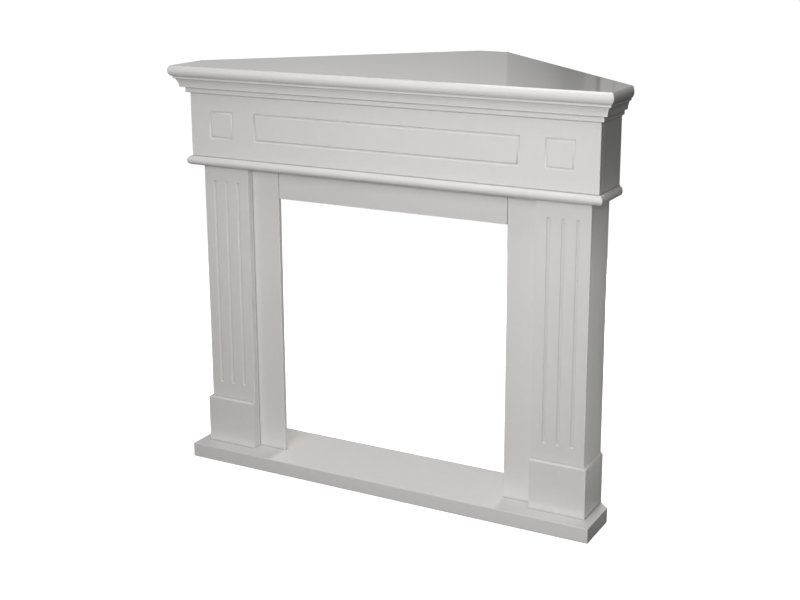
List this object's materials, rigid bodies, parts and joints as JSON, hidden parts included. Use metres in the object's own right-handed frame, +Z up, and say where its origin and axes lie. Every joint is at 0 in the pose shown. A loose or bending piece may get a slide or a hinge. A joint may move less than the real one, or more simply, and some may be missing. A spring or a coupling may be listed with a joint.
{
  "type": "corner fireplace surround",
  "caption": "White lacquered corner fireplace surround with a moulded shelf, grooved frieze, half-round ledge, fluted pilasters on plinths and a slab base.",
  "frame": {"origin": "centre of the whole surround's box, on the floor it stands on", "axes": "+X across the front towards its right end as the viewer faces it, +Y from the front back towards the room's corner, +Z up; the front faces -Y"},
  "size_m": [1.125, 0.648, 0.998],
  "materials": {
    "white_lacquer": "satin white lacquer on fibreboard, semi-gloss on the shelf top",
    "raw_board": "unpainted medium-density fibreboard",
    "softwood": "planed unpainted pine",
    "zinc_plated_steel": "bright zinc plating"
  },
  "bodies": {
    "root": {"base_screw_1_left": "zinc_plated_steel", "base_screw_1_right": "zinc_plated_steel", "base_screw_2_left": "zinc_plated_steel", "base_screw_2_right": "zinc_plated_steel", "base_slab": "white_lacquer", "cam_lock_1_left": "zinc_plated_steel", "cam_lock_1_right": "zinc_plated_steel", "cam_lock_2_left": "zinc_plated_steel", "cam_lock_2_right": "zinc_plated_steel", "cam_lock_3_left": "zinc_plated_steel", "cam_lock_3_right": "zinc_plated_steel", "cam_lock_4_left": "zinc_plated_steel", "cam_lock_4_right": "zinc_plated_steel", "crown_front": "white_lacquer", "crown_return_left": "white_lacquer", "crown_return_right": "white_lacquer", "frieze_bracket_left": "zinc_plated_steel", "frieze_bracket_right": "zinc_plated_steel", "frieze_corner_block_left": "softwood", "frieze_corner_block_right": "softwood", "frieze_front": "white_lacquer", "frieze_side_left": "white_lacquer", "frieze_side_right": "white_lacquer", "header": "white_lacquer", "header_batten": "softwood", "joint_plate_left": "raw_board", "joint_plate_right": "raw_board", "ledge_board": "white_lacquer", "leg_left": "white_lacquer", "leg_right": "white_lacquer", "pilaster_foot_block_left": "softwood", "pilaster_foot_block_right": "softwood", "pilaster_front_left": "white_lacquer", "pilaster_front_right": "white_lacquer", "pilaster_inner_side_left": "white_lacquer", "pilaster_inner_side_right": "white_lacquer", "pilaster_outer_side_left": "white_lacquer", "pilaster_outer_side_right": "white_lacquer", "pilaster_top_block_left": "softwood", "pilaster_top_block_right": "softwood", "plinth_front_left": "white_lacquer", "plinth_front_right": "white_lacquer", "plinth_side_left": "white_lacquer", "plinth_side_right": "white_lacquer", "rail_bracket_1_left": "zinc_plated_steel", "rail_bracket_1_right": "zinc_plated_steel", "rail_bracket_2_left": "zinc_plated_steel", "rail_bracket_2_right": "zinc_plated_steel", "rear_rail": "raw_board", "shelf_rib": "raw_board", "top_shelf": "white_lacquer", "wall_rail_left": "raw_board", "wall_rail_right": "raw_board"}
  },
  "joints": []
}
